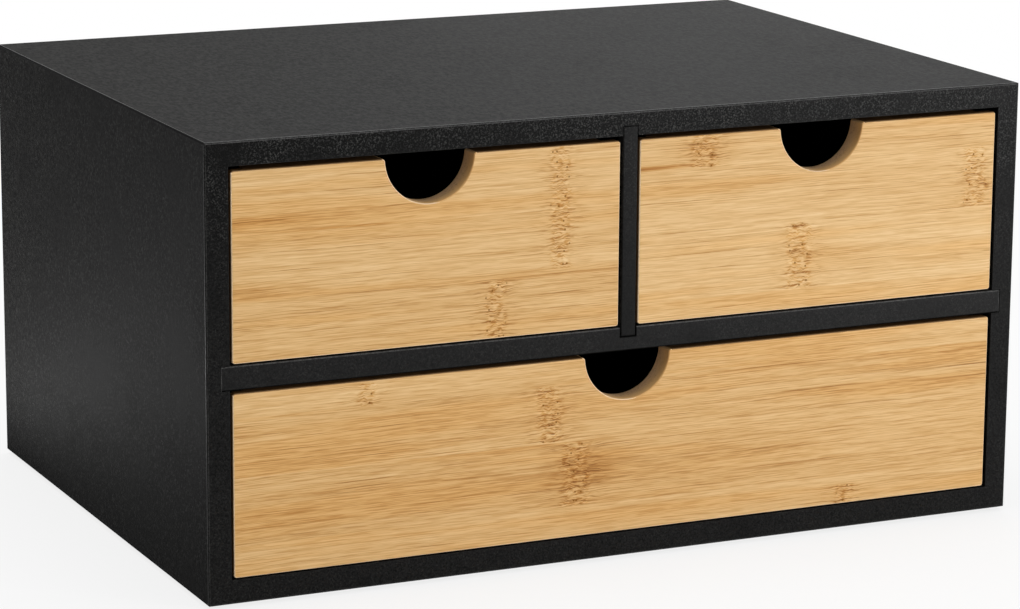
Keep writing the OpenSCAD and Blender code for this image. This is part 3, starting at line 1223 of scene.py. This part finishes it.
@dataclass(frozen=True)
class Drawer:
    """One drawer: its bamboo front and the black box behind it."""

    cell: Cell
    nodes: dict[str, Object]
    bamboo: Bamboo
    paint: Material
    steel: Material
    trim: tuple[Material, ...]
    groove_gap: float = 0.1 * MM
    overcut: float = 1.0 * MM
    board_arris: float = 0.5 * MM
    shortest_arris: float = 30 * MM

    def node(self, part: str) -> Object:
        """Return one of this drawer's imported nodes."""
        return self.nodes[f"{self.cell.value}_{part}"]

    def box(self, part: str) -> tuple[Vector, Vector]:
        """Return the lowest and highest corner of one of this drawer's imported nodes."""
        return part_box(f"{self.cell.value}_{part}")

    def build(self) -> None:
        """Build and dress every piece."""
        self.build_front()
        self.build_boards()
        brads = NailSet(f"{self.cell.value}_brad_set", self.cell.value, axis=0, both_ways=True)
        brads.build(self.node("brads"), self.steel)

    def build_front(self) -> None:
        """Build the bamboo front, with the steps for the side boards and the bottom's groove."""
        low, high = self.box("front")
        front = DrawerFront(low, high)
        bm = FORM.prism(front.outline(), low.y, high.y)
        bm = FORM.cut(bm, self.front_tools(low, high))
        notch_bottom = high.z - front.notch_r

        def on_face(edge: BMEdge) -> bool:
            """Tell whether an edge lies on the face that shows."""
            return all(abs(vert.co.y - low.y) < FORM.weld for vert in edge.verts)

        def on_rear(edge: BMEdge) -> bool:
            """Tell whether an edge lies along the notch or the top at the back."""
            flat = all(abs(vert.co.y - high.y) < FORM.weld for vert in edge.verts)
            return flat and min(vert.co.z for vert in edge.verts) > notch_bottom - FORM.weld

        FORM.round_off(bm, FORM.arrises(bm, on_rear), front.rear_arris, 2)
        for face in bm.faces:
            face.material_index = FrontFinish.FACE
        FORM.round_off(bm, FORM.arrises(bm, on_face), front.arris, 5, slot=FrontFinish.ARRIS)
        for face in bm.faces:
            face.material_index = front.finish_of(face)
        materials = (self.bamboo.material(), *self.trim)
        name = f"{self.cell.value}_front"
        FORM.piece(f"{name}_board", bm, materials, self.cell.value, "bamboo", name)

    def front_tools(self, low: Vector, high: Vector) -> list[BMesh]:
        """Make the shapes that are cut out of the front.

        Args:
            low: The front's lowest corner.
            high: The front's highest corner.

        Returns:
            The two steps and the groove.
        """
        over = Vector((self.overcut,) * 3)
        tools = []
        for side in Side:
            step_low, step_high = low - over, high + over
            side_low, side_high = self.box(f"side_{side.value}")
            step_low.y = side_low.y
            if side is Side.LEFT:
                step_high.x = side_high.x
            else:
                step_low.x = side_low.x
            tools.append(FORM.block(step_low, step_high))
        groove_low, groove_high = self.box("bottom")
        room = Vector((self.groove_gap,) * 3)
        tools.append(FORM.block(groove_low - room, groove_high + room))
        return tools

    def build_boards(self) -> None:
        """Round the edges of the black boards and dress them."""
        for part in ("side_left", "side_right", "rear", "bottom"):
            bm = FORM.from_node(self.node(part))
            FORM.round_off(bm, FORM.arrises(bm, self.is_long), self.board_arris, 3)
            name = f"{self.cell.value}_{part}"
            FORM.piece(f"{name}_board", bm, (self.paint,), self.cell.value, "box_paint", name)

    def is_long(self, edge: BMEdge) -> bool:
        """Tell whether an edge is a long outer edge of a board."""
        return edge.calc_length() > self.shortest_arris


# ---------------------------------------------------------------------------------------------
# The studio
# ---------------------------------------------------------------------------------------------


@dataclass(frozen=True)
class Lamp:
    """A softbox that faces a point on the unit or near it."""

    name: str
    place: tuple[float, float, float]
    aim: tuple[float, float, float]
    size: tuple[float, float]
    power: float

    def build(self) -> None:
        """Put the lamp in the scene."""
        data = bpy.data.lights.new(self.name, "AREA")
        data.shape = "RECTANGLE"
        data.size, data.size_y = self.size
        data.energy = self.power
        lamp = add_object(self.name, data)
        lamp.location = self.place
        way = Vector(self.aim) - Vector(self.place)
        lamp.rotation_euler = way.to_track_quat("-Z", "Y").to_euler()
        lamp.visible_camera = False


@dataclass(frozen=True)
class Studio:
    """A pale floor, a white surround, soft lamps and the camera.

    The camera's angles are in degrees. The floor keeps a share of the unit's shadow out to clear_r from
    the middle, and fades to plain white at white_r.
    """

    azimuth: float = -24.872
    elevation: float = 12.847
    roll: float = 0.400
    lens_mm: float = 135.246
    sensor_mm: float = 36.0
    stand: tuple[float, float, float] = (-0.6256, -1.3644, 0.4157)
    nearest: float = 0.05
    farthest: float = 60.0
    floor_r: float = 9.0
    floor_sides: int = 128
    clear_r: float = 0.3
    white_r: float = 0.9
    shadow_share: float = 0.18
    ambient: float = 0.42
    floor_shade: float = 0.84
    lamps: tuple[Lamp, ...] = (
        Lamp("key_softbox", (1.15, -1.62, 0.19), (0.0, 0.0, 0.1), (0.36, 0.36), 15.8),
        Lamp("overhead_softbox", (0.1, 0.15, 1.9), (0.0, 0.0, 0.1), (1.6, 1.6), 24.0),
        Lamp("rim_softbox", (1.05, 1.65, 0.55), (0.0, 0.0, 0.15), (0.7, 0.7), 3.4),
        Lamp("low_strip", (-0.33, 0.17, 0.003), (-0.33, 0.17, 1.0), (0.26, 0.08), 1.1),
    )

    def build(self) -> None:
        """Build everything that isn't part of the unit."""
        self.build_camera()
        self.build_floor()
        self.build_surround()
        for lamp in self.lamps:
            lamp.build()
        bpy.context.scene.view_settings.view_transform = "Standard"

    def build_camera(self) -> None:
        """Stand the camera where the photograph was taken from."""
        a, e, r = (math.radians(v) for v in (self.azimuth, self.elevation, self.roll))
        back = Vector((math.sin(a) * math.cos(e), -math.cos(a) * math.cos(e), math.sin(e)))
        right = (-back).cross(Vector((0, 0, 1))).normalized()
        up = right.cross(-back)
        turned_right = right * math.cos(r) + up * math.sin(r)
        turned_up = up * math.cos(r) - right * math.sin(r)
        data = bpy.data.cameras.new("photograph_view")
        data.lens = self.lens_mm
        data.sensor_width = self.sensor_mm
        data.clip_start = self.nearest
        data.clip_end = self.farthest
        camera = add_object("photograph_view", data)
        axes = Matrix((turned_right, turned_up, back)).transposed()
        camera.matrix_world = Matrix.Translation(self.stand) @ axes.to_4x4()
        bpy.context.scene.camera = camera

    def seen(self, tree: NodeTree) -> NodeSocket:
        """Tell rays that look at the floor or the surround from rays that carry light from it.

        Args:
            tree: The node tree of the floor or the surround.

        Returns:
            An output that is 1 for rays from the camera, a reflection or a glass.
        """
        path = tree.nodes.new("ShaderNodeLightPath")
        total = path.outputs["Is Camera Ray"]
        for name in ("Is Glossy Ray", "Is Transmission Ray"):
            join = tree.nodes.new("ShaderNodeMath")
            join.operation = "MAXIMUM"
            tree.links.new(total, join.inputs[0])
            tree.links.new(path.outputs[name], join.inputs[1])
            total = join.outputs[0]
        return total

    def build_floor(self) -> None:
        """Lay a round floor that fades to white away from the unit and keeps its shadow."""
        s = Shader("studio_floor")
        metres = s.spot(*s.millimetres(), (1 / MM,) * 3)
        centre_distance = s.put("ShaderNodeVectorMath", {0: metres}, operation="LENGTH")
        far = s.step(centre_distance.outputs["Value"], self.clear_r, self.white_r)
        share = s.math("MULTIPLY", s.math("SUBTRACT", 1.0, far), self.shadow_share)
        white = s.math("MULTIPLY", s.math("SUBTRACT", 1.0, share), self.seen(s.tree))
        diffuse = s.put("ShaderNodeBsdfDiffuse", {"Color": (self.floor_shade,) * 3})
        glow = s.put("ShaderNodeEmission", {"Color": (1.0, 1.0, 1.0), "Strength": 1.0})
        mix = s.put("ShaderNodeMixShader", {0: white, 1: diffuse.outputs[0], 2: glow.outputs[0]})
        s.tree.links.new(mix.outputs[0], s.output.inputs["Surface"])
        s.tree.nodes.remove(s.surface)
        bm = bmesh.new()
        bmesh.ops.create_circle(bm, cap_ends=True, radius=self.floor_r, segments=self.floor_sides)
        floor = add_mesh("studio_floor", bm)
        floor.data.materials.append(s.material)

    def build_surround(self) -> None:
        """Surround the unit with even light that shows as white."""
        world = bpy.data.worlds.new("studio")
        world.use_nodes = True
        tree = world.node_tree
        seen = self.seen(tree)
        strength = tree.nodes.new("ShaderNodeMapRange")
        strength.inputs["To Min"].default_value = self.ambient
        strength.inputs["To Max"].default_value = 1.0
        tree.links.new(seen, strength.inputs["Value"])
        background = tree.nodes["Background"]
        background.inputs["Color"].default_value = (1.0, 1.0, 1.0, 1.0)
        tree.links.new(strength.outputs[0], background.inputs["Strength"])
        bpy.context.scene.world = world


# ---------------------------------------------------------------------------------------------
# The whole unit
# ---------------------------------------------------------------------------------------------

LEFT_BAMBOO = Bamboo(
    "bamboo_left",
    seed=4.0,
    glue_lines=(113.4, 137.0),
    knuckles=(Knuckle(-28.2, 114.8, 162.0, 4.0), Knuckle(-54.0, 90.0, 112.4, 4.0)),
    stains=(
        Stain(-157.0, 141.2, 62.0, 4.0, 0.8),
        Stain(-157.0, 116.0, 52.0, 5.5, 0.7),
        Stain(-118.0, 137.2, 48.0, 0.7, 1.3),
    ),
)
RIGHT_BAMBOO = Bamboo(
    "bamboo_right",
    seed=57.0,
    glue_lines=(98.2, 124.2, 147.8),
    knuckles=(
        Knuckle(31.4, 148.2, 162.0, 5.5),
        Knuckle(148.8, 124.6, 147.4, 5.0),
        Knuckle(72.4, 98.4, 123.8, 5.5),
    ),
    stains=(
        Stain(4.0, 149.4, 40.0, 1.6, 2.2),
        Stain(31.0, 155.0, 22.0, 7.0, 0.6),
        Stain(84.0, 111.0, 26.0, 9.0, 0.5),
    ),
    lift=0.055,
)
WIDE_BAMBOO = Bamboo(
    "bamboo_wide",
    seed=113.0,
    glue_lines=(22.8, 48.2, 70.2),
    knuckles=(
        Knuckle(-106.1, 70.4, 78.6, 3.4),
        Knuckle(-31.8, 48.6, 70.0, 5.0),
        Knuckle(-20.8, 23.2, 47.6, 6.0, 0.9),
        Knuckle(94.4, 11.0, 18.6, 4.0),
    ),
    stains=(
        Stain(-14.0, 38.0, 26.0, 10.0, 0.9),
        Stain(40.0, 34.0, 80.0, 8.0, 0.5),
        Stain(-110.0, 40.0, 60.0, 3.0, 0.5),
    ),
    lift=-0.035,
)
DRAWER_BOX_PAINT = BlackPaint(
    "drawer_box_paint", shade=0.02, rough=0.62, grain_mm=1.0, grain_share=1.8, relief_mm=0.03, seed=9.0
)


def main() -> None:
    """Build the unit and its studio."""
    logging.basicConfig(level=logging.INFO, format="%(message)s")
    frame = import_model()
    nodes = frame["nodes"]
    Studio().build()
    CaseBoards(nodes).build()
    BackAssembly(nodes).build()
    MitreTongues(nodes).build()
    FootPads(nodes).build()
    box_paint = DRAWER_BOX_PAINT.material()
    steel = NailSteel("brad_steel").material()
    front_low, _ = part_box("wide_drawer_front")
    trim = FrontFinishes(BambooCut(front_low.y / MM)).materials()
    for cell, bamboo in ((Cell.LEFT, LEFT_BAMBOO), (Cell.RIGHT, RIGHT_BAMBOO), (Cell.WIDE, WIDE_BAMBOO)):
        Drawer(cell, nodes, bamboo, box_paint, steel, trim).build()


if __name__ == "__main__":
    main()
